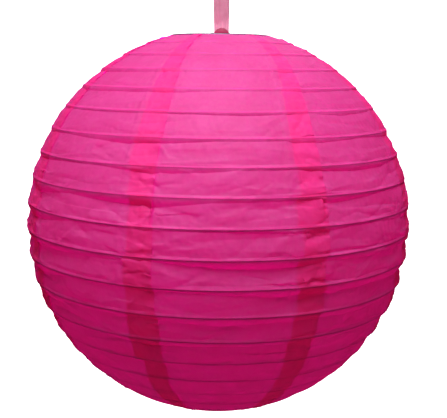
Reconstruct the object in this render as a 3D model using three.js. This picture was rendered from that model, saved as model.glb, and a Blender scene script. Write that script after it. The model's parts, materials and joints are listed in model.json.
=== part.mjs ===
// Round ribbed paper lantern, hung from a doubled ribbon.
// Millimetres, +Z up. The origin is the inside top of the ribbon's hanging loop, where a hook bears.
// The lantern's front faces -Y, with +X to its right.
import * as THREE from 'three';

// Paper shell
const SHELL_RADIUS = 150;        // outside of the paper, a sphere
const PAPER = 0.3;               // thickness of the paper sheet
const GORE_COUNT = 8;            // paper panels round the shell
const LAP_ANGLE = 8;             // how far each panel laps over the next, in degrees
const LAP_RAMP = 0.6;            // turn in which a panel steps up onto its neighbour, in degrees
const SEAM_GAP = 0.15;           // turn left between a seam and the next panel's edge, in degrees
const FIRST_SEAM = -24.3;        // turn of the first seam from the front, in degrees

// Wire frame
const RIB_COUNT = 19;
const RIB_WIRE = 1.1;            // wire diameters
const RING_WIRE = 2.0;
const EXPANDER_WIRE = 1.6;
const OPENING_ANGLE = 14.5;      // polar angle of the two end rings, in degrees
const HEM_ANGLE = 0.6;           // how far the paper runs past each end ring, in degrees
const CLEARANCE = 0.3;           // gap kept between pieces that touch

// Expander
const LEG_OFFSET = 30;           // each leg's distance from the lantern's axis
const KNEE_PRESS_ANGLE = 30;     // slope at which a knee presses on an end ring, in degrees
const LEG_HINGE_DROP = 12;       // from the top ring down to where a leg flexes
const HINGE_STUB = 4;            // straight wire over that point
const FOOT_RISE = 12;            // height over the bottom ring where a leg bends outwards
const FOOT_TAIL_INSET = 3;       // how far the foot's tail turns back in, past the knee
const FOOT_TAIL_DROP = 4.5;
const SADDLE_WIDTH = 15.2;       // raised middle of the crossbar that the ribbon hangs it by
const SADDLE_RISE = 2.6;         // its height over the top ring
const BEND_RADIUS = 2.4;

// Ribbon
const RIBBON_WIDTH = 12;
const RIBBON_THICKNESS = 0.4;    // one layer
const HANG_LENGTH = 108;         // from the hook down to the top ring
const LOOP_RADIUS = 4;           // inside of the hanging loop
const LOOP_LENGTH = 25;          // from the hook down to the knot
const KNOT_SIZE = 8;             // across, and up and down
const KNOT_DEPTH = 5.6;
const SADDLE_STRANDS = 7;        // length over the saddle in which the two strands come together
const KNOT_STRANDS = 4;          // length over the knot in which they part again

// Mesh fineness
const FACETS = 32;               // flats round every ring and round the shell
const RIB_SIDES = 4;             // sides of the wires' sections
const RING_SIDES = 6;
const EXPANDER_SIDES = 8;
const BEND_STEPS = 3;            // steps in each bend of a wire
const STRAP_ARC_STEPS = 8;       // steps in the half circle of a strap's loop
const KNOT_FACETS_AROUND = 12;
const KNOT_FACETS_UP = 8;

// Worked out from the dimensions above
const GORE_ANGLE = 360 / GORE_COUNT;
const FACET_ANGLE = 360 / FACETS;
const RIB_PITCH = (180 - 2 * OPENING_ANGLE) / (RIB_COUNT + 1);
const WIRE_SURFACE = SHELL_RADIUS - PAPER - CLEARANCE;
const LAP_LIFT = PAPER + CLEARANCE;
const RING_CENTRE = WIRE_SURFACE - RING_WIRE / 2;
const RING_RADIUS = RING_CENTRE * Math.sin(radians(OPENING_ANGLE));
const RING_HEIGHT = RING_CENTRE * Math.cos(radians(OPENING_ANGLE));
const TOP_RING_Z = -HANG_LENGTH;
const SHELL_CENTRE_Z = TOP_RING_Z - RING_HEIGHT;
const BOTTOM_RING_Z = SHELL_CENTRE_Z - RING_HEIGHT;
const SADDLE_Z = TOP_RING_Z + SADDLE_RISE;
const KNEE_REACH = (RING_WIRE + EXPANDER_WIRE) / 2 + CLEARANCE;
const KNEE_X = RING_RADIUS - KNEE_REACH * Math.cos(radians(KNEE_PRESS_ANGLE));
const KNEE_DROP = KNEE_REACH * Math.sin(radians(KNEE_PRESS_ANGLE));
const LEG_HINGE_Z = TOP_RING_Z - LEG_HINGE_DROP;
const LEFT = -1;
const RIGHT = 1;

const paperPink = new THREE.MeshStandardMaterial({
  color: 0xd9358a, roughness: 0.85, metalness: 0, side: THREE.DoubleSide,
});
const ribbonPink = new THREE.MeshStandardMaterial({ color: 0xd78caa, roughness: 0.45, metalness: 0 });
const ribSteel = new THREE.MeshStandardMaterial({ color: 0x9c9aa0, roughness: 0.4, metalness: 1 });
const expanderSteel = new THREE.MeshStandardMaterial({ color: 0xb9babd, roughness: 0.3, metalness: 1 });

function radians(degrees) {
  return degrees * Math.PI / 180;
}

function meshOf(name, geometry, material) {
  const mesh = new THREE.Mesh(geometry, material);
  mesh.name = name;
  return mesh;
}

/** Polar angle of a rib, counted from the top ring (0) to the bottom ring (RIB_COUNT + 1). */
function polarAngle(row) {
  return OPENING_ANGLE + row * RIB_PITCH;
}

/** A closed wire hoop about Z, on the sphere of its centre line, at a polar angle. */
function hoop(name, wire, sides, polar) {
  const centreRadius = WIRE_SURFACE - wire / 2;
  const section = [];
  for (let corner = 0; corner <= sides; corner += 1) {
    const turn = radians(90 - polar + (corner + 0.5) * 360 / sides);
    const across = centreRadius * Math.sin(radians(polar)) + wire / 2 * Math.cos(turn);
    const up = centreRadius * Math.cos(radians(polar)) + wire / 2 * Math.sin(turn);
    section.push(new THREE.Vector2(across, up));
  }
  const geometry = new THREE.LatheGeometry(section, FACETS, radians(FIRST_SEAM), 2 * Math.PI);
  geometry.rotateX(Math.PI / 2);
  return meshOf(name, geometry, ribSteel);
}

/** A point on the faceted shell, by its turn from the front, polar angle and distance from the centre. */
function shellPoint(turn, polar, radius) {
  const intoFacet = (((turn - FIRST_SEAM) % FACET_ANGLE) + FACET_ANGLE) % FACET_ANGLE;
  const half = FACET_ANGLE / 2;
  const flat = Math.cos(radians(half)) / Math.cos(radians(intoFacet - half));
  const across = radius * Math.sin(radians(polar)) * flat;
  return [
    across * Math.sin(radians(turn)),
    -across * Math.cos(radians(turn)),
    radius * Math.cos(radians(polar)),
  ];
}

/** A closed thin sheet over a grid: its outer face, inner face and the four edges between them. */
function sheetGeometry(columns, rows, outerPoint, innerPoint) {
  const positions = [];
  for (const pointOf of [outerPoint, innerPoint]) {
    for (let row = 0; row < rows; row += 1) {
      for (let column = 0; column < columns; column += 1) {
        positions.push(...pointOf(column, row));
      }
    }
  }
  const index = [];
  const outer = (column, row) => row * columns + column;
  const inner = (column, row) => columns * rows + outer(column, row);
  const addQuad = (a, b, c, d) => index.push(a, b, c, a, c, d);
  for (let row = 0; row < rows - 1; row += 1) {
    for (let column = 0; column < columns - 1; column += 1) {
      const right = column + 1;
      const below = row + 1;
      addQuad(outer(column, row), outer(column, below), outer(right, below), outer(right, row));
      addQuad(inner(column, row), inner(right, row), inner(right, below), inner(column, below));
    }
    const [last, below] = [columns - 1, row + 1];
    addQuad(outer(0, row), inner(0, row), inner(0, below), outer(0, below));
    addQuad(outer(last, row), outer(last, below), inner(last, below), inner(last, row));
  }
  for (let column = 0; column < columns - 1; column += 1) {
    const [last, right] = [rows - 1, column + 1];
    addQuad(outer(column, 0), outer(right, 0), inner(right, 0), inner(column, 0));
    addQuad(outer(column, last), inner(column, last), inner(right, last), outer(right, last));
  }
  const geometry = new THREE.BufferGeometry();
  geometry.setAttribute('position', new THREE.Float32BufferAttribute(positions, 3));
  geometry.setIndex(index);
  geometry.computeVertexNormals();
  return geometry;
}

/** One paper panel, from seam to seam, with its lap raised over the next panel. */
function paperGore(number) {
  const seam = FIRST_SEAM + (number - 1) * GORE_ANGLE;
  const columns = [{ turn: seam + SEAM_GAP, lift: 0 }];
  for (let turn = FACET_ANGLE; turn < GORE_ANGLE; turn += FACET_ANGLE) {
    columns.push({ turn: seam + turn, lift: 0 });
  }
  columns.push({ turn: seam + GORE_ANGLE - LAP_RAMP, lift: 0 });
  columns.push({ turn: seam + GORE_ANGLE, lift: LAP_LIFT });
  columns.push({ turn: seam + GORE_ANGLE + LAP_ANGLE, lift: LAP_LIFT });

  const polars = [OPENING_ANGLE - HEM_ANGLE];
  for (let row = 0; row <= RIB_COUNT + 1; row += 1) {
    polars.push(polarAngle(row));
  }
  polars.push(180 - OPENING_ANGLE + HEM_ANGLE);

  const pointAt = (radius) => (column, row) => {
    const { turn, lift } = columns[column];
    return shellPoint(turn, polars[row], radius + lift);
  };
  const geometry = sheetGeometry(
    columns.length, polars.length, pointAt(SHELL_RADIUS), pointAt(SHELL_RADIUS - PAPER),
  );
  return meshOf(`paper_gore_${number}`, geometry, paperPink);
}

/** The centre line of a bent wire: its straight runs have only end points, and its bends have more. */
class WirePath extends THREE.CatmullRomCurve3 {
  getPointAt(share) {
    return this.getPoint(share);
  }

  getTangentAt(share) {
    return this.getTangent(share);
  }
}

/** Points along a chain of corners in the XZ plane, with every inner corner rounded. */
function roundedRoute(corners) {
  const points = corners.map(([x, z]) => new THREE.Vector3(x, 0, z));
  const route = [points[0]];
  for (let i = 1; i < points.length - 1; i += 1) {
    const toPrevious = points[i - 1].clone().sub(points[i]).normalize();
    const toNext = points[i + 1].clone().sub(points[i]).normalize();
    const bend = new THREE.QuadraticBezierCurve3(
      points[i].clone().addScaledVector(toPrevious, BEND_RADIUS),
      points[i],
      points[i].clone().addScaledVector(toNext, BEND_RADIUS),
    );
    route.push(...bend.getPoints(BEND_STEPS));
  }
  route.push(points.at(-1));
  return route;
}

/** A bent expander wire through corners in the XZ plane. */
function expanderWire(name, corners) {
  const section = new THREE.Shape();
  for (let side = 0; side < EXPANDER_SIDES; side += 1) {
    const turn = side / EXPANDER_SIDES * 2 * Math.PI;
    const [x, y] = [EXPANDER_WIRE / 2 * Math.cos(turn), EXPANDER_WIRE / 2 * Math.sin(turn)];
    if (side === 0) {
      section.moveTo(x, y);
    } else {
      section.lineTo(x, y);
    }
  }
  section.closePath();
  const route = roundedRoute(corners);
  const geometry = new THREE.ExtrudeGeometry(section, {
    steps: route.length - 1,
    bevelEnabled: false,
    extrudePath: new WirePath(route),
  });
  return meshOf(name, geometry, expanderSteel);
}

/** The expander's top: a knee under each side of the top ring, and a raised saddle for the ribbon. */
function expanderCrossbar() {
  const barZ = TOP_RING_Z - KNEE_DROP;
  const rightHalf = [
    [SADDLE_WIDTH / 2, SADDLE_Z],
    [SADDLE_WIDTH / 2, barZ],
    [KNEE_X, barZ],
    [LEG_OFFSET, LEG_HINGE_Z + HINGE_STUB],
    [LEG_OFFSET, LEG_HINGE_Z + CLEARANCE / 2],
  ];
  const leftHalf = rightHalf.map(([x, z]) => [-x, z]).reverse();
  return expanderWire('expander_crossbar', [...leftHalf, ...rightHalf]);
}

/** One leg: straight down, then out to a knee that presses the bottom ring down and outwards. */
function expanderLeg(name, side) {
  const kneeZ = BOTTOM_RING_Z + KNEE_DROP;
  return expanderWire(name, [
    [side * LEG_OFFSET, LEG_HINGE_Z - CLEARANCE / 2],
    [side * LEG_OFFSET, BOTTOM_RING_Z + FOOT_RISE],
    [side * KNEE_X, kneeZ],
    [side * (KNEE_X - FOOT_TAIL_INSET), kneeZ - FOOT_TAIL_DROP],
  ]);
}

/** A doubled strap in the YZ plane: a loop about loopZ, its two strands joined flat from joinZ to endZ. */
function loopedStrap(name, loopZ, innerRadius, joinZ, endZ) {
  const join = -Math.abs(joinZ - loopZ);
  const end = -Math.abs(endZ - loopZ);
  const overLoop = (radius) => {
    const points = [];
    for (let step = 0; step <= STRAP_ARC_STEPS; step += 1) {
      const turn = step / STRAP_ARC_STEPS * Math.PI;
      points.push(new THREE.Vector2(radius * Math.cos(turn), radius * Math.sin(turn)));
    }
    return points;
  };
  const strap = new THREE.Shape([
    new THREE.Vector2(RIBBON_THICKNESS, end),
    new THREE.Vector2(RIBBON_THICKNESS, join),
    ...overLoop(innerRadius + RIBBON_THICKNESS),
    new THREE.Vector2(-RIBBON_THICKNESS, join),
    new THREE.Vector2(-RIBBON_THICKNESS, end),
  ]);
  strap.holes.push(new THREE.Path([new THREE.Vector2(0, join), ...overLoop(innerRadius)]));
  const geometry = new THREE.ExtrudeGeometry(strap, { depth: RIBBON_WIDTH, bevelEnabled: false });
  geometry.translate(0, 0, -RIBBON_WIDTH / 2);
  const alongX = new THREE.Vector3(1, 0, 0);
  const alongY = new THREE.Vector3(0, 1, 0);
  const alongZ = new THREE.Vector3(0, 0, 1);
  geometry.applyMatrix4(new THREE.Matrix4().makeBasis(alongY, alongZ, alongX));
  if (endZ > loopZ) {
    geometry.rotateX(Math.PI);
  }
  const mesh = meshOf(name, geometry, ribbonPink);
  mesh.position.z = loopZ;
  return mesh;
}

function ribbonPieces() {
  const unitRadius = 0.5;
  const knotGeometry = new THREE.SphereGeometry(unitRadius, KNOT_FACETS_AROUND, KNOT_FACETS_UP);
  knotGeometry.rotateX(Math.PI / 2);
  knotGeometry.scale(KNOT_SIZE, KNOT_DEPTH, KNOT_SIZE);
  const knot = meshOf('ribbon_knot', knotGeometry, ribbonPink);
  knot.position.z = -LOOP_LENGTH - KNOT_SIZE / 2;

  const loopEnd = -LOOP_LENGTH + CLEARANCE;
  const hangingLoop = loopedStrap(
    'ribbon_hanging_loop', -LOOP_RADIUS, LOOP_RADIUS, loopEnd + KNOT_STRANDS, loopEnd,
  );
  const ribbonEnd = -LOOP_LENGTH - KNOT_SIZE - CLEARANCE;
  const saddleGrip = EXPANDER_WIRE / 2 + CLEARANCE;
  const ribbon = loopedStrap('ribbon', SADDLE_Z, saddleGrip, SADDLE_Z + SADDLE_STRANDS, ribbonEnd);
  return [hangingLoop, knot, ribbon];
}

const lantern = new THREE.Group();

const shell = new THREE.Group();
shell.position.z = SHELL_CENTRE_Z;
shell.add(hoop('top_ring', RING_WIRE, RING_SIDES, polarAngle(0)));
shell.add(hoop('bottom_ring', RING_WIRE, RING_SIDES, polarAngle(RIB_COUNT + 1)));
for (let rib = 1; rib <= RIB_COUNT; rib += 1) {
  shell.add(hoop(`rib_wire_${String(rib).padStart(2, '0')}`, RIB_WIRE, RIB_SIDES, polarAngle(rib)));
}
for (let number = 1; number <= GORE_COUNT; number += 1) {
  shell.add(paperGore(number));
}
lantern.add(shell);

lantern.add(expanderCrossbar());
lantern.add(expanderLeg('expander_leg_left', LEFT));
lantern.add(expanderLeg('expander_leg_right', RIGHT));
lantern.add(...ribbonPieces());

export default lantern;
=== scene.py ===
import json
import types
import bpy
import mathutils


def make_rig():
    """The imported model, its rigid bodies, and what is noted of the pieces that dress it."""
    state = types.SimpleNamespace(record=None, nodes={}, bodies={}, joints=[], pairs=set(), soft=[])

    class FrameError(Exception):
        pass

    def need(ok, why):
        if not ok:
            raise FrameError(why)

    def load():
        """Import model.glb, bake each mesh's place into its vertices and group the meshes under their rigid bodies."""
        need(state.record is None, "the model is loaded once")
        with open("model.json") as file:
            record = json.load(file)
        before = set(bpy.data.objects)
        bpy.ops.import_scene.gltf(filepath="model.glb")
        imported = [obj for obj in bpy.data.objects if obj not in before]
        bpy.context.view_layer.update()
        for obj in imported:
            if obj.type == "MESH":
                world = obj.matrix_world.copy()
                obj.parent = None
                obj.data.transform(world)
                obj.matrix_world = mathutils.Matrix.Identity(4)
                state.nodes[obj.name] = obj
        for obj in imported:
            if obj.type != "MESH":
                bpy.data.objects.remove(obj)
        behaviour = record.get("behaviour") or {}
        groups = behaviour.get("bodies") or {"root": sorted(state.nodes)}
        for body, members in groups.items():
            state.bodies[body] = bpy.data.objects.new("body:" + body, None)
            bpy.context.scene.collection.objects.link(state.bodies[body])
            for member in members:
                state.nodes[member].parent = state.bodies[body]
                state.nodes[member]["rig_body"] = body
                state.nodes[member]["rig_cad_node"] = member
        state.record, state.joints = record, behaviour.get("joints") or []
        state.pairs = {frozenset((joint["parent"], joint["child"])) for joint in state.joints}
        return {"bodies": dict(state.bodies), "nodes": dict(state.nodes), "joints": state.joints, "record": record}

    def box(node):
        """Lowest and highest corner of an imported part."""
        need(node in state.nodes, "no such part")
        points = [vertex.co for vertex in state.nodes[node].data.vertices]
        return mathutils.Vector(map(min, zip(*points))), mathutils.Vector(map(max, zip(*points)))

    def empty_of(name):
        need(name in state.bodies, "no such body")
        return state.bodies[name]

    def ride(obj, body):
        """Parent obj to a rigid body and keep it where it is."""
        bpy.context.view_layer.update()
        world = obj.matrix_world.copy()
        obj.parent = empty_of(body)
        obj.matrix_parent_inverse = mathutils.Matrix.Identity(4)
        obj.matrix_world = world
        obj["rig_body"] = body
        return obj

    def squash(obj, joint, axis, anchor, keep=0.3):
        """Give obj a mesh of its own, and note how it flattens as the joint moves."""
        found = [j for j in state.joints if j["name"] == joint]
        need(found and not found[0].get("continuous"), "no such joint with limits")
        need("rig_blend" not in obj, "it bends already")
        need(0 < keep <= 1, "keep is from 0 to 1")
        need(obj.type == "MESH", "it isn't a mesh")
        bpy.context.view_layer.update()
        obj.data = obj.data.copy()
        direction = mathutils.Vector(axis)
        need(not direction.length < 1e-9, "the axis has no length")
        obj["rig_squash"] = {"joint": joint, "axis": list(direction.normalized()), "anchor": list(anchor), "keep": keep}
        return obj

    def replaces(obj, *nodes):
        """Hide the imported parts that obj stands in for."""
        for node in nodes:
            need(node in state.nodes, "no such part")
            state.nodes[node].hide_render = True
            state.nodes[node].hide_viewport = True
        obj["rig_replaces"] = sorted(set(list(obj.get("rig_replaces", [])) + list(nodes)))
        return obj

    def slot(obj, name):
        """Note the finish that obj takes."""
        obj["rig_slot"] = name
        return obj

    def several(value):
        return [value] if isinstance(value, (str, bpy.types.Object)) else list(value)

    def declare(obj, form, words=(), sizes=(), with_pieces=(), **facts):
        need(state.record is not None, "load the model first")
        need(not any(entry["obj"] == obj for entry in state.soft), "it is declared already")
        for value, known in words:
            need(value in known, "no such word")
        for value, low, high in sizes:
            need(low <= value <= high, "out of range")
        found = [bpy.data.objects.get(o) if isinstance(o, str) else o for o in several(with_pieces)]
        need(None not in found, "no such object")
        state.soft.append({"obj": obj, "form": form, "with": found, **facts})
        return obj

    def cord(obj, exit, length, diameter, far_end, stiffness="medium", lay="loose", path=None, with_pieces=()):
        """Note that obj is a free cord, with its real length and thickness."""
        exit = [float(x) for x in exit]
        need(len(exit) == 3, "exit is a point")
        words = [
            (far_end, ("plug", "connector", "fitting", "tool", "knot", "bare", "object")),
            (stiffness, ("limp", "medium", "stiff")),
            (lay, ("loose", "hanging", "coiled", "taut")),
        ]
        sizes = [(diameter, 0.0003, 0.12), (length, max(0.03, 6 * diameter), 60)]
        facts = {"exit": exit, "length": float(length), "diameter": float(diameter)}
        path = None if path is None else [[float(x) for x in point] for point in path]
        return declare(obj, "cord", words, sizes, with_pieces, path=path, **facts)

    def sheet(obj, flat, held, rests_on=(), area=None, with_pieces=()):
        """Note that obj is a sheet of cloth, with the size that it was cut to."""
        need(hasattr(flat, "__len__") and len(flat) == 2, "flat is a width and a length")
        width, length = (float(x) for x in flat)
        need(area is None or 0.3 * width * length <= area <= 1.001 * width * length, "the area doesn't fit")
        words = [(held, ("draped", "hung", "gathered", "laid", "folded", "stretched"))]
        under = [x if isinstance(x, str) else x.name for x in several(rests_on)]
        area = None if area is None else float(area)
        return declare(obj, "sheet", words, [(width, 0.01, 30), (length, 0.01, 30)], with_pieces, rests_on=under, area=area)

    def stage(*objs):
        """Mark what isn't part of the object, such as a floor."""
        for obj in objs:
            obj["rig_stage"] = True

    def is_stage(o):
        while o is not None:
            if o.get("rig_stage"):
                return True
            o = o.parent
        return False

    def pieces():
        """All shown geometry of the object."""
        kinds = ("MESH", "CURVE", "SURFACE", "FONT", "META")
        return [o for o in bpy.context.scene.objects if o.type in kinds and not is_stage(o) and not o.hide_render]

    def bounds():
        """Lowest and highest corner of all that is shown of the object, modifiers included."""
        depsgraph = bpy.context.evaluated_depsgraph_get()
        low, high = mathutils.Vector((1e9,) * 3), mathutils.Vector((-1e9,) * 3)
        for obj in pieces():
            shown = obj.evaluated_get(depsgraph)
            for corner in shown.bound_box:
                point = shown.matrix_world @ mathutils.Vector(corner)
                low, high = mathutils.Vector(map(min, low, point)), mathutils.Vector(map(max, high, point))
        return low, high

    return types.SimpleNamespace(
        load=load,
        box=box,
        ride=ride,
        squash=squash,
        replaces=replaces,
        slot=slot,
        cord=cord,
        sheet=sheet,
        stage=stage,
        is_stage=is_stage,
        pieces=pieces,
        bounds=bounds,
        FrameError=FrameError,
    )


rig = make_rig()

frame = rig.load()
cad_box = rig.bounds()

# A round ribbed paper lantern that hangs from a doubled ribbon.
# Metres, +Z up. The origin is where the hanging loop bears on its hook, and the front faces -Y.
# A turn is an angle about Z from the front, growing towards +X, and a polar angle starts at +Z.
import json
import math

import bpy
import numpy as np
from mathutils import Matrix, Quaternion, Vector

MM = 0.001

# Paper shell
RIDGE_RADIUS = 149.52 * MM       # the paper where it passes over a wire, from the shell's centre
GORE_COUNT = 8
LAP_ANGLE = 8.0                  # degrees that each gore laps over the next
LAP_LIFT = 0.25 * MM             # height of a lap over the paper below it
FIRST_SEAM = -24.3               # turn of the first seam, in degrees
LIFT_START = 2.6                 # degrees before a seam where a gore starts to rise onto the next
LIFT_RUN = 0.9                   # degrees in which it has risen
UNDER_EDGE_PLAY = 1.1            # degrees that the hand-glued edge below a lap strays
FREE_EDGE_PLAY = 0.6             # degrees that the lap's own edge strays
CURL = 0.4 * MM                  # height to which that edge curls up between the wires
GATHER_REACH = 50                # degrees from an opening within which the gores are gathered unevenly
PAPER_COLUMNS = 144
DEEPEST_SAG = 3.6 * MM
FACET_STEPS = (0, 0.1, 0.35, 0.65, 0.9)  # shares of a facet between two folds that have a row of points
OVER_WIRE = (                    # beside a wire: (distance, the most that the paper falls there)
    (0.35 * MM, 0.12 * MM),
    (0.80 * MM, 0.34 * MM),
)
ROLL = 1.6                       # power by which the paper falls ever steeper from a wire to the first fold
EDGE_ROWS = 4                    # rows of a band that the paper's edge stays short of an end ring
FOLD_COUNT = 4
BAND_ROWS = (FOLD_COUNT + 1) * len(FACET_STEPS) + 2 * len(OVER_WIRE)

# Wire frame
RIB_COUNT = 19
RIB_WIRE = 1.1 * MM              # wire diameters
RING_WIRE = 2.0 * MM
EXPANDER_WIRE = 1.6 * MM
OPENING_ANGLE = 14.5             # polar angle of the end rings, in degrees
CLEARANCE = 0.3 * MM
LEG_OFFSET = 30 * MM             # from the lantern's axis to a leg
KNEE_PRESS_ANGLE = 30            # degrees from level at which the knees and feet press on the end rings
LEG_HINGE_DROP = 12 * MM         # from the top ring down to a leg's hinge
HINGE_STUB = 4 * MM              # straight wire above that hinge
FOOT_RISE = 12 * MM              # above the bottom ring, where a leg turns out to its foot
FOOT_TAIL_INSET = 3 * MM         # how far in, and how far down, the bent tail goes from a foot
FOOT_TAIL_DROP = 4.5 * MM
SADDLE_WIDTH = 15.2 * MM         # raised middle of the crossbar, and its height over the top ring
SADDLE_RISE = 2.6 * MM
BEND_RADIUS = 2.4 * MM

# Ribbon
RIBBON_WIDTH = 12 * MM
RIBBON_THICKNESS = 0.22 * MM
PULLED_WIDTH = 0.94              # share of its width that the ribbon keeps when pulled taut
SADDLE_SLIP = 1.1 * MM           # how far the ribbon has slid along the saddle
LOOP_RADIUS = 4 * MM             # inside of the hanging loop
LOOP_LENGTH = 25 * MM            # from the hook down to the knot
KNOT_SIZE = 8 * MM               # height and width
KNOT_DEPTH = 5.6 * MM
TUCKED_IN = 0.3 * KNOT_SIZE      # length of each strand that is hidden in the knot
STRAND_ROOM = 0.35 * MM          # from the plane between the strands, or from the bar's clearance
PARTING = 9 * MM                 # height over which the strands part to pass round the saddle bar

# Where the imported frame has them
ring_low, ring_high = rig.box("top_ring")
TOP_RING_Z = (ring_low.z + ring_high.z) / 2
ring_low, ring_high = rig.box("bottom_ring")
BOTTOM_RING_Z = (ring_low.z + ring_high.z) / 2
SHELL_CENTRE_Z = (TOP_RING_Z + BOTTOM_RING_Z) / 2
SADDLE_Z = TOP_RING_Z + SADDLE_RISE
WIRE_SURFACE = (TOP_RING_Z - SHELL_CENTRE_Z) / math.cos(math.radians(OPENING_ANGLE)) + RING_WIRE / 2
RIB_PITCH = (180 - 2 * OPENING_ANGLE) / (RIB_COUNT + 1)
BAND_HEIGHT = math.radians(RIB_PITCH) * RIDGE_RADIUS
GORE_ANGLE = 360 / GORE_COUNT
COLLAPSE = next(joint for joint in frame["joints"] if joint["name"] == "shell_collapse")
SHELL_HEIGHT = TOP_RING_Z - BOTTOM_RING_Z
COLLAPSED_ROOM = 1.0 * MM        # from the end rings to the paper over them when the shell is collapsed
COLLAPSED_SHARE = 1 - (COLLAPSE["range_m"][1] - 2 * COLLAPSED_ROOM) / SHELL_HEIGHT
COLLAPSE_ANCHOR_Z = TOP_RING_Z + COLLAPSED_ROOM / (1 - COLLAPSED_SHARE)


# Camera

def add_camera():
    """The camera a little above the lantern's middle, with the lantern's top leaning to the right."""
    shell_centre = Vector((0, 0, SHELL_CENTRE_Z))
    distance = 679.5 * MM
    rise = math.radians(10)
    roll = math.radians(0.6)
    data = bpy.data.cameras.new("camera")
    data.sensor_width = 36
    data.lens = 68.3
    data.shift_x = 0.012
    data.shift_y = 0.0245
    data.clip_start = 0.01
    camera = bpy.data.objects.new("camera", data)
    camera.location = shell_centre + distance * Vector((0, -math.cos(rise), math.sin(rise)))
    aim = (shell_centre - camera.location).to_track_quat("-Z", "Y")
    camera.rotation_mode = "QUATERNION"
    camera.rotation_quaternion = aim @ Quaternion((0, 0, 1), roll)
    bpy.context.scene.collection.objects.link(camera)
    bpy.context.scene.camera = camera


# Materials

class Surface:
    """A node material under construction, with its Principled shader and the mesh's own coordinates."""

    def __init__(self, name):
        self.material = bpy.data.materials.new(name)
        self.material.use_nodes = True
        self.nodes = self.material.node_tree.nodes
        self.links = self.material.node_tree.links
        self.shader = self.nodes["Principled BSDF"]
        self.output = self.nodes["Material Output"]
        self.place = self.nodes.new("ShaderNodeTexCoord").outputs["Object"]

    def stretched(self, scale):
        mapping = self.nodes.new("ShaderNodeMapping")
        mapping.inputs["Scale"].default_value = scale
        self.links.new(self.place, mapping.inputs["Vector"])
        return mapping.outputs["Vector"]

    def noise(self, scale, detail=3.0, roughness=0.5, place=None):
        noise = self.nodes.new("ShaderNodeTexNoise")
        noise.inputs["Scale"].default_value = scale
        noise.inputs["Detail"].default_value = detail
        noise.inputs["Roughness"].default_value = roughness
        self.links.new(place or self.place, noise.inputs["Vector"])
        return noise.outputs["Fac"]

    def ridges(self, scale, place):
        """Noise whose high places meet in sharp lines, like paper that has been crumpled and smoothed."""
        ridges = self.nodes.new("ShaderNodeTexNoise")
        ridges.noise_type = "RIDGED_MULTIFRACTAL"
        ridges.normalize = True
        ridges.inputs["Scale"].default_value = scale
        ridges.inputs["Detail"].default_value = 2
        ridges.inputs["Roughness"].default_value = 0.4
        self.links.new(place, ridges.inputs["Vector"])
        return ridges.outputs["Fac"]

    def ramp(self, value, *stops):
        """Colours at places along a value: each stop is (place, colour)."""
        ramp = self.nodes.new("ShaderNodeValToRGB")
        elements = ramp.color_ramp.elements
        while len(elements) < len(stops):
            elements.new(0.5)
        for element, (place, colour) in zip(elements, stops):
            element.position = place
            element.color = (*colour, 1)
        self.links.new(value, ramp.inputs["Fac"])
        return ramp.outputs["Color"]

    def spread(self, value, low, high):
        """A value from 0 to 1 spread between low and high."""
        spread = self.nodes.new("ShaderNodeMapRange")
        spread.inputs["To Min"].default_value = low
        spread.inputs["To Max"].default_value = high
        self.links.new(value, spread.inputs["Value"])
        return spread.outputs["Result"]

    def attribute(self, name):
        attribute = self.nodes.new("ShaderNodeAttribute")
        attribute.attribute_name = name
        return attribute.outputs["Fac"]

    def blended(self, first, second, kind="MULTIPLY", share=None):
        """Two colours mixed: all of the kind of mix, or as much of it as share says at each spot."""
        mix = self.nodes.new("ShaderNodeMix")
        mix.data_type = "RGBA"
        mix.blend_type = kind
        sockets = {socket.identifier: socket for socket in mix.inputs}
        if share is None:
            sockets["Factor_Float"].default_value = 1
        else:
            self.links.new(share, sockets["Factor_Float"])
        self.links.new(first, sockets["A_Color"])
        self.links.new(second, sockets["B_Color"])
        return next(socket for socket in mix.outputs if socket.identifier == "Result_Color")

    def bump(self, height, distance, strength=1.0, under=None):
        bump = self.nodes.new("ShaderNodeBump")
        bump.inputs["Strength"].default_value = strength
        bump.inputs["Distance"].default_value = distance
        self.links.new(height, bump.inputs["Height"])
        if under is not None:
            self.links.new(under, bump.inputs["Normal"])
        return bump.outputs["Normal"]

    def let_light_through(self, colour, share, normal):
        """Mixes in a thin sheet's glow from light on its far side."""
        glow = self.nodes.new("ShaderNodeBsdfTranslucent")
        self.links.new(colour, glow.inputs["Color"])
        self.links.new(normal, glow.inputs["Normal"])
        mix = self.nodes.new("ShaderNodeMixShader")
        mix.inputs["Fac"].default_value = share
        self.links.new(self.shader.outputs["BSDF"], mix.inputs[1])
        self.links.new(glow.outputs["BSDF"], mix.inputs[2])
        self.links.new(mix.outputs["Shader"], self.output.inputs["Surface"])


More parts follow.
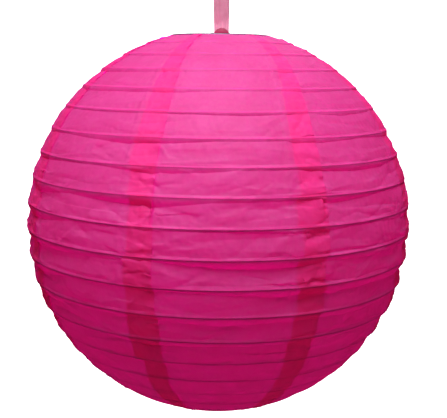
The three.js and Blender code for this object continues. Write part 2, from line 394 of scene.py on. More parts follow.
def paper_material():
    """Thin dyed tissue paper: cloudy dye, mottled fibres, fine crinkles and light through it.

    Where two sheets are pasted together, a deeper and redder dye is painted in for the light and shade of the two
    layers."""
    surface = Surface("dyed_paper")
    pasted = surface.attribute("pasted")
    clouds = surface.noise(55, detail=5, roughness=0.6)
    mottle = surface.noise(420, detail=5, roughness=0.7, place=surface.stretched((1, 1, 0.55)))
    fibres = surface.noise(900, detail=5, roughness=0.7, place=surface.stretched((1, 1, 2.4)))
    single = surface.ramp(clouds, (0.3, (0.79, 0.18, 0.48)), (0.7, (0.84, 0.22, 0.55)))
    # painted light and shade: where two sheets overlap, the dye is deeper and redder than on one sheet
    double = surface.ramp(clouds, (0.3, (0.89, 0.13, 0.48)), (0.7, (0.93, 0.16, 0.55)))
    dye = surface.blended(
        surface.blended(single, double, kind="MIX", share=pasted),
        surface.ramp(mottle, (0.34, (0.84, 0.72, 0.84)), (0.66, (1, 1, 1))),
    )
    single_glow = surface.ramp(clouds, (0.3, (0.97, 0.003, 0.53)), (0.7, (0.99, 0.006, 0.59)))
    # painted shade: the light through two overlapping sheets is given a deeper colour
    double_glow = surface.ramp(clouds, (0.3, (0.97, 0.001, 0.53)), (0.7, (0.99, 0.003, 0.60)))
    glow = surface.blended(
        surface.blended(single_glow, double_glow, kind="MIX", share=pasted),
        surface.ramp(mottle, (0.3, (1, 1, 1)), (0.7, (0.93, 0.88, 0.91))),
    )
    grain = surface.bump(fibres, 0.05 * MM, strength=0.5)
    crinkles = surface.ridges(150, place=surface.stretched((1, 1, 1.5)))
    normal = surface.bump(crinkles, 0.35 * MM, strength=0.85, under=grain)
    surface.links.new(dye, surface.shader.inputs["Base Color"])
    surface.links.new(normal, surface.shader.inputs["Normal"])
    surface.links.new(surface.spread(fibres, 0.58, 0.74), surface.shader.inputs["Roughness"])
    surface.shader.inputs["Specular IOR Level"].default_value = 0.8
    surface.let_light_through(glow, 0.70, normal)
    return surface.material


def ribbon_material(name, pale, deep, through, sheen):
    """Sheer woven ribbon: fine warp and weft, and a silky sheen."""
    surface = Surface(name)
    threads = []
    for direction, pitch in (("X", 0.32 * MM), ("Z", 0.38 * MM)):
        wave = surface.nodes.new("ShaderNodeTexWave")
        wave.bands_direction = direction
        wave.inputs["Scale"].default_value = 2 * math.pi / (20 * pitch)
        wave.inputs["Distortion"].default_value = 0.6
        wave.inputs["Detail"].default_value = 1
        surface.links.new(surface.place, wave.inputs["Vector"])
        threads.append(wave.outputs["Color"])
    weave = surface.blended(threads[0], threads[1], kind="MULTIPLY")
    cloth = surface.blended(
        surface.ramp(surface.noise(160, detail=3), (0.3, deep), (0.7, pale)),
        surface.ramp(weave, (0.0, (0.84, 0.80, 0.82)), (1.0, (1, 1, 1))),
    )
    normal = surface.bump(weave, 0.04 * MM, strength=0.5)
    surface.links.new(cloth, surface.shader.inputs["Base Color"])
    surface.links.new(normal, surface.shader.inputs["Normal"])
    surface.links.new(surface.spread(weave, 0.52, 0.38), surface.shader.inputs["Roughness"])
    surface.shader.inputs["Sheen Weight"].default_value = sheen
    surface.shader.inputs["Sheen Roughness"].default_value = 0.3
    surface.let_light_through(cloth, through, normal)
    return surface.material


def steel_material(name, tint, smooth, rough):
    """Drawn steel wire: fine drawing lines, and a dull patchy zinc."""
    surface = Surface(name)
    patches = surface.noise(260, detail=5, roughness=0.65)
    scratches = surface.noise(2600, detail=3, place=surface.stretched((1, 1, 0.08)))
    darker = tuple(0.82 * channel for channel in tint)
    surface.links.new(
        surface.ramp(patches, (0.3, darker), (0.7, tint)), surface.shader.inputs["Base Color"],
    )
    surface.links.new(surface.spread(patches, smooth, rough), surface.shader.inputs["Roughness"])
    surface.links.new(
        surface.bump(scratches, 0.02 * MM, strength=0.35), surface.shader.inputs["Normal"],
    )
    surface.shader.inputs["Metallic"].default_value = 1
    return surface.material


# Pieces

def add_piece(name, points, faces, material, body, slot, stands_for=None):
    """A smooth mesh piece that rides on a body, in place of a CAD node if one is named."""
    mesh = bpy.data.meshes.new(name)
    mesh.from_pydata(points, [], faces)
    mesh.shade_smooth()
    mesh.materials.append(material)
    piece = bpy.data.objects.new(name, mesh)
    bpy.context.scene.collection.objects.link(piece)
    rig.ride(piece, body)
    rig.slot(piece, slot)
    if stands_for:
        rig.replaces(piece, stands_for)
    return piece


def grid_faces(rows, columns, closed_rows=False, closed_columns=False):
    """The quads of a grid of points, given row by row."""
    faces = []
    for row in range(rows if closed_rows else rows - 1):
        below = (row + 1) % rows
        for column in range(columns if closed_columns else columns - 1):
            right = (column + 1) % columns
            faces.append((
                row * columns + column,
                below * columns + column,
                below * columns + right,
                row * columns + right,
            ))
    return faces


def smooth_step(value):
    """From 0 to 1 as the value goes from 0 to 1, level at both ends."""
    value = min(max(value, 0.0), 1.0)
    return value * value * (3 - 2 * value)


# Ribbon

def ribbon_strip(centres, acrosses, widths, pleats, phase):
    """Points over a strip of ribbon: row by row along it, and from edge to edge in each row.

    Where the ribbon is gathered to less than its width, it stands in pleats that take up the rest."""
    columns = 25
    points = []
    for index, (centre, across, width) in enumerate(zip(centres, acrosses, widths)):
        before = centres[max(index - 1, 0)]
        after = centres[min(index + 1, len(centres) - 1)]
        outward = (after - before).normalized().cross(across).normalized()
        spare = max((RIBBON_WIDTH / width) ** 2 - 1, 0)
        pleat = width / (math.pi * pleats) * math.sqrt(spare) * 0.6
        for column in range(columns):
            share = column / (columns - 1) - 0.5
            fold = pleat * math.sin(2 * math.pi * pleats * share + phase)
            points.append(centre + across * width * share + outward * fold)
    return points, columns


def thicken(piece, thickness):
    """Gives a sheet its thickness, half to each side."""
    solidify = piece.modifiers.new("thickness", "SOLIDIFY")
    solidify.thickness = thickness
    solidify.offset = 0


def add_ribbon(material, tab_painted_shade_material):
    """The doubled ribbon, from under the saddle bar up to the knot, with a dark tab painted as the shade where the
    strands part.
    """
    knot_low = -LOOP_LENGTH - KNOT_SIZE
    top = knot_low - CLEARANCE / 2
    grip = EXPANDER_WIRE / 2 + CLEARANCE
    length = top + TUCKED_IN - SADDLE_Z
    steps, bar_steps, route_steps = 48, 8, 20
    centres, acrosses, widths = [], [], []
    for side in (-1, 1):
        strand = []
        for step in range(steps + 1):
            share = step / steps
            parted = grip * (1 - smooth_step(share * length / PARTING)) + STRAND_ROOM
            sway = 1.0 * MM * math.sin(math.pi * share) ** 2
            shift = side * 0.4 * MM * smooth_step(share * 3) * (1 - smooth_step(share * 2.2 - 1.1))
            twist = side * 0.16 * math.sin(math.pi * min(share * 1.2, 1)) ** 2
            aside = shift + SADDLE_SLIP * (1 - share)
            centre = Vector((aside, side * (parted + 0.35 * sway), SADDLE_Z + share * length))
            across = Vector((math.cos(twist), math.sin(twist), 0))
            gather = smooth_step((share - 0.72) / 0.28)
            strand.append((centre, across, RIBBON_WIDTH * (PULLED_WIDTH - 0.5 * gather)))
        if side < 0:
            strand.reverse()
        centres += [centre for centre, across, width in strand]
        acrosses += [across for centre, across, width in strand]
        widths += [width for centre, across, width in strand]
        if side < 0:
            for step in range(1, bar_steps):
                angle = step / bar_steps * math.pi
                under = (grip + STRAND_ROOM) * Vector((0, -math.cos(angle), -math.sin(angle)))
                centres.append(Vector((SADDLE_SLIP, 0, SADDLE_Z)) + under)
                acrosses.append(Vector((1, 0, 0)))
                widths.append(RIBBON_WIDTH * PULLED_WIDTH)
    points, columns = ribbon_strip(centres, acrosses, widths, pleats=1.5, phase=0.9)
    ribbon = add_piece(
        "hanging_ribbon", points, grid_faces(len(centres), columns), material, "ribbon", "ribbon",
        stands_for="ribbon",
    )
    thicken(ribbon, RIBBON_THICKNESS)
    route = [
        (SADDLE_SLIP * (1 - step / route_steps), 0, SADDLE_Z + (top - SADDLE_Z) * step / route_steps)
        for step in range(route_steps + 1)
    ]
    tab = add_ribbon_tab(tab_painted_shade_material, grip)
    return ribbon, tab, route


def add_ribbon_tab(material, grip):
    """A dark sheet cut to a point over the strands where they part, painted as the shade between them."""
    rows, columns = 13, 17
    height = 5.2 * MM
    below_bar = 1.2 * MM
    widest = PULLED_WIDTH * RIBBON_WIDTH / 2 + 0.15 * MM
    square_part = 0.25
    points = []
    for row in range(rows):
        up = row / (rows - 1)
        half_width = widest * math.sqrt(1 - 0.995 * max(up - square_part, 0) / (1 - square_part))
        for column in range(columns):
            share = 2 * column / (columns - 1) - 1
            swell = 0.5 * MM * (1 - share * share) * (1 - up)
            lean = (grip + STRAND_ROOM) * (1 - smooth_step(up * height / PARTING)) + 0.5 * MM
            points.append(Vector((
                SADDLE_SLIP + half_width * share,
                -(lean + swell) - STRAND_ROOM,
                SADDLE_Z - below_bar + up * height,
            )))
    faces = [tuple(reversed(face)) for face in grid_faces(rows, columns)]
    tab = add_piece("ribbon_tab", points, faces, material, "ribbon", "ribbon")
    thicken(tab, RIBBON_THICKNESS * 1.6)
    return tab


def add_knot(material):
    """An overhand knot: tight pleated turns of ribbon wrapped across each other."""
    centre = Vector((0, 0, -LOOP_LENGTH - KNOT_SIZE / 2))
    turns = (
        # lean about Y and about X in degrees, share of the knot's size, band width
        (42, 6, 0.86, 4.4 * MM),
        (-38, -8, 0.92, 4.0 * MM),
        (6, 14, 0.95, 3.6 * MM),
        (80, 0, 0.86, 4.2 * MM),
        (-66, 10, 0.92, 3.6 * MM),
    )
    around, columns = 64, 13
    pleats = 2.5
    pleat_height = 0.16 * MM
    points, faces = [], []
    for number, (lean_y, lean_x, size, width) in enumerate(turns):
        about_y = Matrix.Rotation(math.radians(lean_y), 3, "Y")
        about_x = Matrix.Rotation(math.radians(lean_x), 3, "X")
        tilt = about_y @ about_x
        start = len(points)
        for step in range(around):
            angle = 2 * math.pi * step / around
            ring = tilt @ Vector((math.cos(angle), math.sin(angle), 0))
            axis = tilt @ Vector((0, 0, 1))
            for column in range(columns):
                share = column / (columns - 1) - 0.5
                phase = number + 2 * math.sin(angle)
                pleat = pleat_height * math.sin(2 * math.pi * pleats * share + phase)
                crown = 1 - 0.5 * (2 * share) ** 2 * (width / KNOT_SIZE)
                spot = ring * (size * crown) + axis * (width * share / (KNOT_SIZE / 2))
                stretched = Vector((
                    spot.x * KNOT_SIZE / 2, spot.y * KNOT_DEPTH / 2, spot.z * KNOT_SIZE / 2,
                ))
                points.append(centre + stretched + ring * pleat)
        faces += [
            tuple(start + corner for corner in face)
            for face in grid_faces(around, columns, closed_rows=True)
        ]
    knot = add_piece("ribbon_knot_turns", points, faces, material, "knot", "ribbon",
                     stands_for="ribbon_knot")
    thicken(knot, RIBBON_THICKNESS * 1.3)
    return knot


def add_hanging_loop(material):
    """The loop over the hook: out of the knot in two gathered strands, and open and flat at the top."""
    foot = -LOOP_LENGTH - TUCKED_IN
    loop_z = -LOOP_RADIUS
    reach = LOOP_RADIUS + 0.2 * MM
    at_knot = 0.5 * MM
    steps, over_steps = 26, 12
    centres, widths = [], []
    for side in (-1, 1):
        strand = []
        for step in range(steps + 1):
            share = step / steps
            open_share = smooth_step(share * 1.25 - 0.12)
            apart = at_knot + (reach - at_knot) * open_share
            strand.append((
                Vector((0, side * apart, foot + (loop_z - foot) * share)),
                RIBBON_WIDTH * (0.44 + 0.56 * smooth_step(share * 1.7 - 0.1)),
            ))
        if side > 0:
            strand.reverse()
        centres += [centre for centre, width in strand]
        widths += [width for centre, width in strand]
        if side < 0:
            for step in range(1, over_steps):
                angle = step / over_steps * math.pi
                over = reach * Vector((0, -math.cos(angle), math.sin(angle)))
                centres.append(Vector((0, 0, loop_z)) + over)
                widths.append(RIBBON_WIDTH)
    acrosses = [Vector((1, 0, 0))] * len(centres)
    points, columns = ribbon_strip(centres, acrosses, widths, pleats=2.5, phase=1.4)
    loop = add_piece(
        "hanging_loop_ribbon", points, grid_faces(len(centres), columns), material,
        "hanging_loop", "ribbon", stands_for="ribbon_hanging_loop",
    )
    thicken(loop, RIBBON_THICKNESS)
    return loop


# Paper

def waves(rng, low, high, count=7):
    """Seamless noise round the shell, about -1 to 1: a sum of whole-numbered waves."""
    counts = rng.integers(low, high + 1, count)
    phases = rng.uniform(0, 2 * math.pi, count)
    sizes = rng.uniform(0.5, 1, count)
    sizes /= 1.6 * np.sqrt(0.5 * (sizes ** 2).sum())

    def at(turn):
        return sum(
            size * np.cos(number * np.radians(turn) + phase)
            for number, phase, size in zip(counts, phases, sizes)
        )
    return at


def ripples(rng, low, high, tilt, count=7):
    """Seamless noise over a band, about -1 to 1: waves round the shell that lean by up to the tilt."""
    counts = rng.integers(low, high + 1, count)
    tilts = rng.uniform(-tilt, tilt, count)
    phases = rng.uniform(0, 2 * math.pi, count)

    def at(turn, share):
        return sum(
            np.cos(number * np.radians(turn) + lean * share + phase)
            for number, lean, phase in zip(counts, tilts, phases)
        ) / (1.6 * math.sqrt(0.5 * count))
    return at


def bell(polar, middle, width):
    return np.exp(-(((polar - middle) / width) ** 2))


def wandering(rng, spacing, radius, pick):
    """A value that wanders round the shell in straight runs between turns drawn at random.

    pick draws a value. The runs are about as long as the spacing. Beside the seams, where pasting
    has crumpled the paper, there are a few short ones more."""
    count = max(6, round(2 * math.pi * radius / spacing))
    turns = (np.arange(count) + rng.uniform(-0.38, 0.38, count)) * 360 / count
    values = np.array([pick() for _ in turns])
    crumpled_turns, crumpled_values = [], []
    for number in range(GORE_COUNT):
        seam = FIRST_SEAM + number * GORE_ANGLE
        for _ in range(rng.integers(2, 5)):
            turn = seam + rng.uniform(-3.5, LAP_ANGLE + 3.5)
            here = np.interp(turn, turns, values, period=360)
            crumpled_turns.append(turn)
            crumpled_values.append(here + 0.4 * (pick() - pick()))
    turns = np.mod(np.concatenate([turns, crumpled_turns]), 360)
    values = np.concatenate([values, crumpled_values])
    return lambda turn: np.interp(turn, turns, values, period=360)


class Band:
    """The paper between two neighbouring wires, all the way round the shell.

    From the upper wire it falls inwards to a fold, and comes out again over slighter folds to a lip
    over the lower wire. The folds wander up and down the band in straight runs, so that the paper
    lies in long flat facets. Creases cross them and die out at the wires, where it is glued."""

    def __init__(self, number, rng):
        self.middle = OPENING_ANGLE + (number + 0.5) * RIB_PITCH
        self.radius = RIDGE_RADIUS * math.sin(math.radians(self.middle))
        self.lively = 0.30 + 0.70 * float(bell(self.middle, 94, 34))
        self.folds = self.make_folds(rng)
        self.broad_crumple = ripples(rng, 14, 36, 1.8 * math.pi)
        self.fine_crumple = ripples(rng, 45, 110, 3.2 * math.pi)
        self.creases = self.make_creases(rng)

    def make_folds(self, rng):
        """The folds from the top one down: each one's share down the band, and how it lies.

        The first lies at the foot of a slope that falls from the upper wire. The others lie further
        in, or out, than the straight way from the first fold to the lower wire."""
        first = 0.10 + 0.16 * float(bell(self.middle, 104, 26))
        stray = self.lively
        folds = []
        for share, share_play, lie, lie_play, spacing in (
            (first, 0.19, 0.46, 0.18, 50 * MM),
            (0.44, 0.22, 0.10 * MM, 0.65 * MM, 44 * MM),
            (0.69, 0.20, 0.05 * MM, 0.55 * MM, 48 * MM),
            (0.90, 0.05, 0.34 * MM, 0.24 * MM, 34 * MM),
        ):
            folds.append((
                wandering(rng, spacing, self.radius,
                          lambda: share + stray * share_play * rng.uniform(-1, 1)),
                wandering(rng, spacing, self.radius,
                          lambda: lie + stray * lie_play * rng.uniform(-1, 1)),
            ))
        return folds

    def stations(self, turn):
        """(share, depth) at each line that the rows keep to, at turns in degrees.

        They are the upper wire, where the paper leaves it, each fold, and the same to the lower wire."""
        none = np.zeros_like(turn)
        last_share = none + OVER_WIRE[-1][0] / BAND_HEIGHT
        shares = []
        for fold_share, _ in self.folds:
            last_share = np.maximum(fold_share(turn), last_share + 0.035)
            shares.append(last_share)
        squeeze = np.minimum(1, (1 - OVER_WIRE[-1][0] / BAND_HEIGHT - 0.03) / last_share)
        shares = [share * squeeze for share in shares]
        lies = [lie(turn) for _, lie in self.folds]
        foot = lies[0] * shares[0] * BAND_HEIGHT
        folds = [[shares[0], foot]]
        for share, lie in zip(shares[1:], lies[1:]):
            straight = foot * (1 - share) / (1 - shares[0])
            folds.append([share, np.maximum(straight + lie, 0.05 * MM)])
        first_share, first_depth = folds[0]
        last_share, last_depth = folds[-1]
        leaving, landing = [], []
        for distance, most in OVER_WIRE:
            share = distance / BAND_HEIGHT
            leaving.append([none + share, np.minimum(most, first_depth * share / first_share)])
            landing.append([none + 1 - share, np.minimum(most, last_depth * share / (1 - last_share))])
        return [[none, none], *leaving, *folds, *reversed(landing), [none + 1, none]]

    def make_creases(self, rng):
        """Short creases: each one's turn, share down the band, lean, half length, width above and
        below it, and how far it puts the paper in, or out where that is negative."""
        circumference = 2 * math.pi * self.radius
        strength = 0.35 + 0.65 * self.lively

        def either_way(low, high):
            return rng.choice((-1, 1)) * rng.uniform(low, high)

        def length(low, high):
            return rng.uniform(low, high) * MM

        creases = []
        # Long ones, nearly along the band
        for _ in range(rng.poisson(circumference / (14 * MM) * self.lively)):
            creases.append((
                rng.uniform(0, 360), rng.uniform(0.15, 0.9), math.radians(either_way(2, 15)),
                length(14, 42), length(0.7, 1.4), length(1.5, 5),
                either_way(0.28, 0.7) * MM * strength,
            ))
        # Steeper ones, two in three of which lean the same way
        for _ in range(rng.poisson(circumference / (16 * MM) * self.lively)):
            creases.append((
                rng.uniform(0, 360), rng.uniform(0.1, 0.95),
                math.radians(rng.choice((-1, 1, 1)) * -rng.uniform(8, 38)),
                length(9, 28), length(0.9, 1.4), length(2, 5),
                either_way(0.35, 0.85) * MM * strength,
            ))
        for number in range(GORE_COUNT):
            seam = FIRST_SEAM + number * GORE_ANGLE
            # Small crumples all over a lap
            for _ in range(rng.poisson(5 * self.lively + 0.6)):
                creases.append((
                    seam + rng.uniform(-3, LAP_ANGLE + 4), rng.uniform(0.05, 0.95),
                    math.radians(rng.uniform(-70, 70)),
                    length(3, 8), length(0.5, 0.9), length(0.9, 2.4),
                    either_way(0.25, 0.62) * MM,
                ))
            # Puckers where the lap's edge meets a wire
            for _ in range(rng.poisson(1.6)):
                creases.append((
                    seam + LAP_ANGLE + rng.uniform(-1.5, 2.5),
                    rng.choice((0.07, 0.93)) + rng.uniform(-0.04, 0.04),
                    math.radians(either_way(30, 75)),
                    length(2, 5), length(0.4, 0.7), length(0.8, 1.6),
                    either_way(0.25, 0.5) * MM,
                ))
        return creases

    def crumple(self, turn, share):
        """How much further in the creases and the finest waves put the paper.

        They fade out beside the wires, where the paper is glued."""
        off_wire = OVER_WIRE[-1][0] / BAND_HEIGHT
        fade = 0.06
        free = np.clip((share - off_wire) / fade, 0, 1) * np.clip((1 - off_wire - share) / fade, 0, 1)
        level = 0.4    # taken off the waves' size, so that they put the paper both in and out
        depth = (
            0.24 * MM * self.lively * (np.abs(self.broad_crumple(turn, share)) - level)
            + 0.09 * MM * (np.abs(self.fine_crumple(turn, share)) - level)
        ) * free
        for place, height, lean, half_length, above, below, size in self.creases:
            aside = np.radians((turn - place + 180) % 360 - 180) * self.radius
            down = (share - height) * BAND_HEIGHT
            along = aside * math.cos(lean) + down * math.sin(lean)
            off = down * math.cos(lean) - aside * math.sin(lean)
            reach = np.clip(1 - (along / half_length) ** 2, 0, 1)
            if not reach.any():
                continue
            slope = np.exp(-np.where(off < 0, -off / above, off / below))
            depth += size * slope * reach * free
        return depth

    def rows(self, turn):
        """(share down the band, depth inside the ridge radius) for each row of paper, to the lower wire.

        The rows follow the folds, and crowd up to them, so that the folds are crisp."""
        stations = self.stations(turn)
        over_wire = len(OVER_WIRE)
        for above, (station, after) in enumerate(zip(stations, stations[1:])):
            in_facet = over_wire <= above < len(stations) - 1 - over_wire
            roll = ROLL if above == over_wire else 1
            for step in FACET_STEPS if in_facet else (0,):
                share = station[0] + step * (after[0] - station[0])
                depth = station[1] + step ** roll * (after[1] - station[1])
                yield share, np.clip(depth + self.crumple(turn, share), 0, DEEPEST_SAG)


def gather_play(rng):
    """How far the gores stray from their meridians near the openings, where they are gathered by hand.

    It gives degrees for a turn and a polar angle, both in degrees."""
    seams = FIRST_SEAM + LAP_ANGLE / 2 + GORE_ANGLE * np.arange(GORE_COUNT)
    at_top = rng.uniform(-5, 5, GORE_COUNT)
    at_bottom = rng.uniform(-4, 4, GORE_COUNT)
    # the two seams in front spread apart towards the top opening
    at_top[:2] = (-5, 13)
    at_bottom[:2] = (0, 2)

    def at(turn, polar):
        near_top = max(1 - (polar - OPENING_ANGLE) / GATHER_REACH, 0) ** 1.5
        near_bottom = max(1 - (180 - OPENING_ANGLE - polar) / GATHER_REACH, 0) ** 1.5
        return (
            near_top * np.interp(turn, seams, at_top, period=360)
            + near_bottom * np.interp(turn, seams, at_bottom, period=360)
        )
    return at


def gore_rows(bands, turns):
    """Every row of a gore from edge to edge, as (place down the shell in bands, depth).

    The paper's edges are pasted to the outer sides of the end rings, whose wire shows beyond them."""
    rows = []
    for number, band in enumerate(bands):
        rows += [(number + share, depth) for share, depth in band.rows(turns)]
    return rows[EDGE_ROWS:1 - EDGE_ROWS]


def edge_play(seed, rows):
    """How a hand-pasted edge strays, about -1 to 1: one level for each band, with a nick at each wire."""
    levels = np.random.default_rng(seed).uniform(-1, 1, RIB_COUNT + 2)
    play = []
    for row in range(rows):
        number, share = divmod((row + EDGE_ROWS) / BAND_ROWS, 1)
        here, after = levels[int(number)], levels[int(number) + 1]
        play.append(here + (after - here) * smooth_step((share - 0.9) / 0.1))
    return np.array(play)


def add_gore(number, bands, gathered, material):
    """One sheet of paper from ring to ring, whose right edge laps over the next sheet."""
    seam = FIRST_SEAM + (number - 1) * GORE_ANGLE
    span = GORE_ANGLE + LAP_ANGLE
    turns = seam + np.linspace(0, span, PAPER_COLUMNS)
    from_seam = turns - seam
    column_width = span / PAPER_COLUMNS
    rows = gore_rows(bands, turns)
    left_seam, right_seam = number, number % GORE_COUNT + 1
    hidden_edge = UNDER_EDGE_PLAY * edge_play(200 + left_seam, len(rows))
    next_hidden_edge = UNDER_EDGE_PLAY * edge_play(200 + right_seam, len(rows))
    free_edge = FREE_EDGE_PLAY * edge_play(300 + right_seam, len(rows))
    lift_share = np.clip((from_seam - GORE_ANGLE + LIFT_START) / LIFT_RUN, 0, 1)
    lift = LAP_LIFT * lift_share * lift_share * (3 - 2 * lift_share)
    near_left = np.clip(1 - from_seam / LAP_ANGLE, 0, 1) ** 2
    near_right = np.clip((from_seam - GORE_ANGLE - LAP_ANGLE / 2) / (LAP_ANGLE / 2), 0, 1) ** 2
    curl_waves = waves(np.random.default_rng(100 + number), 20, 120, 9)
    points, pasted = [], []
    for index, (place, depth) in enumerate(rows):
        polar = OPENING_ANGLE + place * RIB_PITCH
        down = np.radians(polar)
        stray = gathered(turns, float(np.mean(polar)))
        around = np.radians(turns + stray + near_left * hidden_edge[index] + near_right * free_edge[index])
        off_wire = np.abs(np.sin(math.pi * place))
        curl = CURL * off_wire * near_right * (1 + curl_waves(17.0 * index / BAND_ROWS + 40 * number))
        reach = RIDGE_RADIUS + lift + curl - depth
        distance = reach * np.sin(down)
        height = SHELL_CENTRE_Z + reach * np.cos(down)
        points.append(np.stack([distance * np.sin(around), -distance * np.cos(around), height], axis=1))
        # where two sheets overlap; the paper material paints a deeper, redder dye there for the light and shade of the
        # two layers
        over_edge = (from_seam - GORE_ANGLE - next_hidden_edge[index]) / column_width
        under_lap = (LAP_ANGLE - from_seam) / column_width
        pasted.append(np.clip(np.maximum(over_edge, under_lap), 0, 1))
    gore = add_piece(
        f"paper_sheet_{number}", np.concatenate(points).tolist(), grid_faces(len(rows), PAPER_COLUMNS),
        material, "lantern_top", "paper", stands_for=f"paper_gore_{number}",
    )
    gore.data.attributes.new("pasted", "FLOAT", "POINT").data.foreach_set("value", np.concatenate(pasted))
    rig.squash(
        gore, "shell_collapse", axis=(0, 0, 1), anchor=(0, 0, COLLAPSE_ANCHOR_Z), keep=COLLAPSED_SHARE,
    )
    return gore


def declare_gore(gore):
    """The gore's cut: a boat-shaped sheet, stretched over the wires from ring to ring."""
    opening = math.radians(OPENING_ANGLE)
    turn = math.radians(GORE_ANGLE + LAP_ANGLE)
    width = turn * RIDGE_RADIUS
    length = (math.pi - 2 * opening) * RIDGE_RADIUS
    area = turn * RIDGE_RADIUS ** 2 * 2 * math.cos(opening)
    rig.sheet(
        gore, flat=(width, length), held="stretched", area=area,
        rests_on=["rib_hoop_10", "top_end_ring", "bottom_end_ring"],
    )


# Wires

def add_hoop(name, wire, polar, weld_turn, material, body, slot, stands_for):
    """A round wire bent to a hoop, with the small bead where its ends are welded."""
    segments, sides = 240, 12
    bead = 1.6 * MM
    centre_radius = WIRE_SURFACE - wire / 2
    distance = centre_radius * math.sin(polar)
    height = SHELL_CENTRE_Z + centre_radius * math.cos(polar)
    points = []
    for segment in range(segments):
        turn = 2 * math.pi * segment / segments
        off_weld = ((turn - weld_turn + math.pi) % (2 * math.pi) - math.pi) * distance
        inward = 0.22 * wire * math.exp(-((off_weld / bead) ** 2))
        for side in range(sides):
            angle = -2 * math.pi * side / sides
            swell = inward * max(0.0, -math.cos(angle)) * 2
            reach = distance + (wire / 2 + swell) * math.cos(angle)
            up = height + wire / 2 * math.sin(angle)
            points.append((reach * math.sin(turn), -reach * math.cos(turn), up))
    return add_piece(
        name, points, grid_faces(segments, sides, closed_rows=True, closed_columns=True),
        material, body, slot, stands_for=stands_for,
    )


def rounded_route(corners):
    """Points along a chain of corners in the XZ plane, with every inner corner bent round."""
    corners = [Vector((x, 0, z)) for x, z in corners]
    route = [corners[0]]
    bend_steps = 8
    for before, corner, after in zip(corners, corners[1:], corners[2:]):
        start = corner + (before - corner).normalized() * BEND_RADIUS
        end = corner + (after - corner).normalized() * BEND_RADIUS
        for step in range(bend_steps + 1):
            share = step / bend_steps
            first = start.lerp(corner, share)
            second = corner.lerp(end, share)
            route.append(first.lerp(second, share))
    route.append(corners[-1])
    return route


def rounded_end(tip, inwards, radius):
    """(centre, size) of the rings that round off a wire's end, from its tip inwards."""
    steps = 4
    end_rings = []
    for step in range(steps):
        angle = math.pi / 2 * (step + 0.5) / steps
        centre = tip + inwards * radius * 0.5 * (1 - math.sin(angle))
        end_rings.append((centre, radius * math.sin(angle)))
    return end_rings


def add_bent_wire(name, corners, material, body, stands_for):
    """A round wire bent through corners in the XZ plane, with rounded ends."""
    route = rounded_route(corners)
    radius = EXPANDER_WIRE / 2
    sides = 14
    rings = []
    for index, point in enumerate(route):
        before = route[max(index - 1, 0)]
        after = route[min(index + 1, len(route) - 1)]
        along = (after - before).normalized()
        if index == 0:
            rings += [(centre, along, size) for centre, size in rounded_end(point, along, radius)]
        elif index == len(route) - 1:
            end_rings = rounded_end(point, -along, radius)
            rings += [(centre, along, size) for centre, size in reversed(end_rings)]
        else:
            rings.append((point, along, radius))
    points = []
    aside = Vector((0, 1, 0))
    for centre, along, size in rings:
        up = along.cross(aside)
        for side in range(sides):
            angle = 2 * math.pi * side / sides
            points.append(centre + size * (math.cos(angle) * aside + math.sin(angle) * up))
    faces = grid_faces(len(rings), sides, closed_columns=True)
    last = (len(rings) - 1) * sides
    faces.append(tuple(range(sides)))
    faces.append(tuple(last + side for side in reversed(range(sides))))
    return add_piece(name, points, faces, material, body, "expander_wire", stands_for=stands_for)


def add_expander(material):
    """The spreader that holds the lantern open: a crossbar with a raised saddle, and two legs."""
    opening = math.radians(OPENING_ANGLE)
    ring_radius = (WIRE_SURFACE - RING_WIRE / 2) * math.sin(opening)
    reach = (RING_WIRE + EXPANDER_WIRE) / 2 + CLEARANCE
    knee_x = ring_radius - reach * math.cos(math.radians(KNEE_PRESS_ANGLE))
    knee_drop = reach * math.sin(math.radians(KNEE_PRESS_ANGLE))
    hinge_z = TOP_RING_Z - LEG_HINGE_DROP
    bar_z = TOP_RING_Z - knee_drop
    right_half = [
        (SADDLE_WIDTH / 2, SADDLE_Z),
        (SADDLE_WIDTH / 2, bar_z),
        (knee_x, bar_z),
        (LEG_OFFSET, hinge_z + HINGE_STUB),
        (LEG_OFFSET, hinge_z + CLEARANCE / 2),
    ]
    left_half = [(-x, z) for x, z in reversed(right_half)]
    add_bent_wire(
        "spreader_crossbar", left_half + right_half, material, "lantern_top", "expander_crossbar",
    )
    foot_z = BOTTOM_RING_Z + knee_drop
    for name, side in (("left", -1), ("right", 1)):
        corners = [
            (side * LEG_OFFSET, hinge_z - CLEARANCE / 2),
            (side * LEG_OFFSET, BOTTOM_RING_Z + FOOT_RISE),
            (side * knee_x, foot_z),
            (side * (knee_x - FOOT_TAIL_INSET), foot_z - FOOT_TAIL_DROP),
        ]
        add_bent_wire(f"spreader_leg_{name}", corners, material, f"leg_{name}", f"expander_leg_{name}")


def add_wire_frame(rib_material, ring_material):
    """The end rings and the ribs between them."""
    rng = np.random.default_rng(7)
    opening = math.radians(OPENING_ANGLE)
    for name, polar, body in (
        ("top", opening, "lantern_top"),
        ("bottom", math.pi - opening, "lantern_bottom"),
    ):
        add_hoop(
            f"{name}_end_ring", RING_WIRE, polar, rng.uniform(0, 2 * math.pi), ring_material,
            body, "ring_wire", f"{name}_ring",
        )
    for number in range(1, RIB_COUNT + 1):
        polar = math.radians(OPENING_ANGLE + number * RIB_PITCH)
        add_hoop(
            f"rib_hoop_{number:02d}", RIB_WIRE, polar, rng.uniform(0, 2 * math.pi), rib_material,
            f"rib_{number:02d}", "rib_wire", f"rib_wire_{number:02d}",
        )


# Studio

def add_softbox(name, place, size, watts):
    """A square lamp facing the lantern, which the camera doesn't see."""
    data = bpy.data.lights.new(name, "AREA")
    data.shape = "SQUARE"
    data.size = size
    data.energy = watts
    softbox = bpy.data.objects.new(name, data)
    softbox.location = place
    softbox.rotation_mode = "QUATERNION"
    aim = Vector((0, 0, SHELL_CENTRE_Z)) - Vector(place)
    softbox.rotation_quaternion = aim.to_track_quat("-Z", "Y")
    softbox.visible_camera = False
    bpy.context.scene.collection.objects.link(softbox)


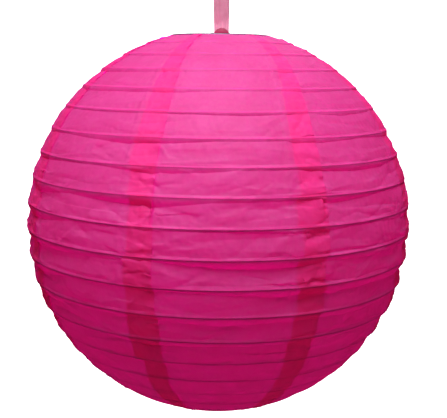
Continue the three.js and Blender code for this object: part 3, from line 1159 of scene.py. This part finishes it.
def stage_piece(name, points, faces, glow):
    """A pale piece of the studio, which only the camera sees."""
    pale = Surface(name)
    pale.shader.inputs["Base Color"].default_value = (0.9, 0.9, 0.9, 1)
    pale.shader.inputs["Emission Color"].default_value = (1, 1, 1, 1)
    pale.shader.inputs["Emission Strength"].default_value = glow
    mesh = bpy.data.meshes.new(name)
    mesh.from_pydata(points, [], faces)
    mesh.materials.append(pale.material)
    piece = bpy.data.objects.new(name, mesh)
    piece.visible_diffuse = False
    piece.visible_glossy = False
    piece.visible_transmission = False
    piece.visible_shadow = False
    bpy.context.scene.collection.objects.link(piece)
    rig.stage(piece)


def add_studio():
    """Soft light from above, a weaker lamp behind, an even fill, and a white floor and backdrop."""
    scene = bpy.context.scene
    scene.view_settings.view_transform = "Standard"
    scene.view_settings.look = "High Contrast"
    world = bpy.data.worlds.new("studio")
    world.use_nodes = True
    background = world.node_tree.nodes["Background"]
    background.inputs["Color"].default_value = (1, 1, 1, 1)
    background.inputs["Strength"].default_value = 0.195
    world.cycles_visibility.glossy = False
    scene.world = world

    add_softbox("overhead", place=(-0.04, -0.50, 0.9), size=0.6, watts=22.2)
    add_softbox("back_fill", place=(0.15, 0.75, 0.45), size=0.6, watts=2.5)

    floor_drop = 1.6
    floor_z = BOTTOM_RING_Z - floor_drop
    half = 4.0
    corners = [(-half, -half), (half, -half), (half, half), (-half, half)]
    stage_piece("floor", [(x, y, floor_z) for x, y in corners], [(0, 1, 2, 3)], glow=0.95)

    around, up, radius = 48, 24, 6.0
    points = []
    for row in range(1, up):
        polar = math.pi * row / up
        for column in range(around):
            turn = 2 * math.pi * column / around
            points.append((
                radius * math.sin(polar) * math.cos(turn),
                radius * math.sin(polar) * math.sin(turn),
                radius * math.cos(polar),
            ))
    stage_piece("backdrop", points, grid_faces(up - 1, around, closed_columns=True), glow=1.0)


# The lantern

add_camera()

sheer_pink = ribbon_material(
    "sheer_ribbon", pale=(0.96, 0.60, 0.73), deep=(0.90, 0.50, 0.64), through=0.5, sheen=0.5,
)
# painted shade: a dark copy of the ribbon cloth, for the tab that stands for the shade where the strands part over the
# saddle bar
ribbon_painted_shade = ribbon_material(
    "folded_ribbon", pale=(0.33, 0.003, 0.085), deep=(0.25, 0.002, 0.055), through=0.08, sheen=0.1,
)
ribbon, ribbon_tab, ribbon_route = add_ribbon(sheer_pink, ribbon_painted_shade)
ribbon_knot = add_knot(sheer_pink)
hanging_loop = add_hanging_loop(sheer_pink)
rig.cord(
    ribbon, exit=ribbon_route[0], length=ribbon_route[-1][2] - ribbon_route[0][2],
    diameter=RIBBON_WIDTH, far_end="knot", stiffness="limp", lay="taut", path=ribbon_route,
    with_pieces=[ribbon_tab, ribbon_knot, hanging_loop],
)

tissue = paper_material()
band_rng = np.random.default_rng(19)
paper_bands = [Band(number, band_rng) for number in range(RIB_COUNT + 1)]
gathering = gather_play(np.random.default_rng(5))
gores = [add_gore(number, paper_bands, gathering, tissue) for number in range(1, GORE_COUNT + 1)]

rib_steel = steel_material("rib_steel", (0.80, 0.79, 0.79), 0.38, 0.55)
# painted shade: the end rings' wire is real, but its dark purple-grey tint is painted for the thin line of shade along
# the openings
ring_steel = steel_material("ring_steel", (0.15, 0.12, 0.16), 0.42, 0.60)
spreader_steel = steel_material("spreader_steel", (0.42, 0.42, 0.44), 0.34, 0.52)
add_wire_frame(rib_steel, ring_steel)
add_expander(spreader_steel)
for gore in gores:
    declare_gore(gore)

add_studio()

with open("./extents.json", "w") as size_file:
    json.dump(
        {
            "cad_box": [list(corner) for corner in cad_box],
            "visual_box": [list(corner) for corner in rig.bounds()],
        },
        size_file,
    )
